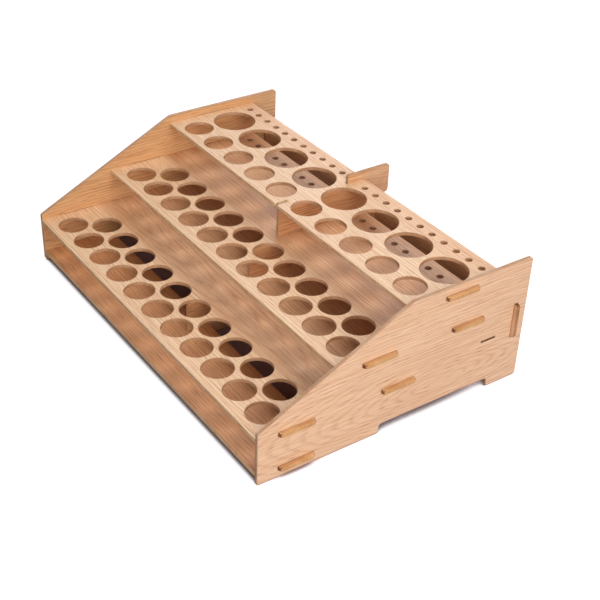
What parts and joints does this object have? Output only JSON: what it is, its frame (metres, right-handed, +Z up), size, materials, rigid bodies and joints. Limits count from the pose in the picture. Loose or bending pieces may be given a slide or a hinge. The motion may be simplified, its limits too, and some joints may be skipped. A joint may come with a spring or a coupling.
{
  "type": "tiered hobby paint and brush rack",
  "caption": "Stepped rack of thin wooden boards, slotted together, with round holes that hold paint bottles, jars and brushes on three tiers.",
  "frame": {"origin": "middle of the bounding box's underside, on the table", "axes": "+X to the right along the tiers, +Y from the low front to the high back, +Z up"},
  "size_m": [0.358, 0.2438, 0.1092],
  "materials": {
    "side_board": "satin",
    "tier_board": "satin",
    "rib_board": "satin",
    "back_board": "satin"
  },
  "bodies": {
    "root": {"side_panel_left": "side_board", "side_panel_right": "side_board", "centre_rib": "rib_board", "base_board": "tier_board", "tier_1_board": "tier_board", "tier_2_board": "tier_board", "tier_3_board": "tier_board", "back_board": "back_board"}
  },
  "joints": []
}
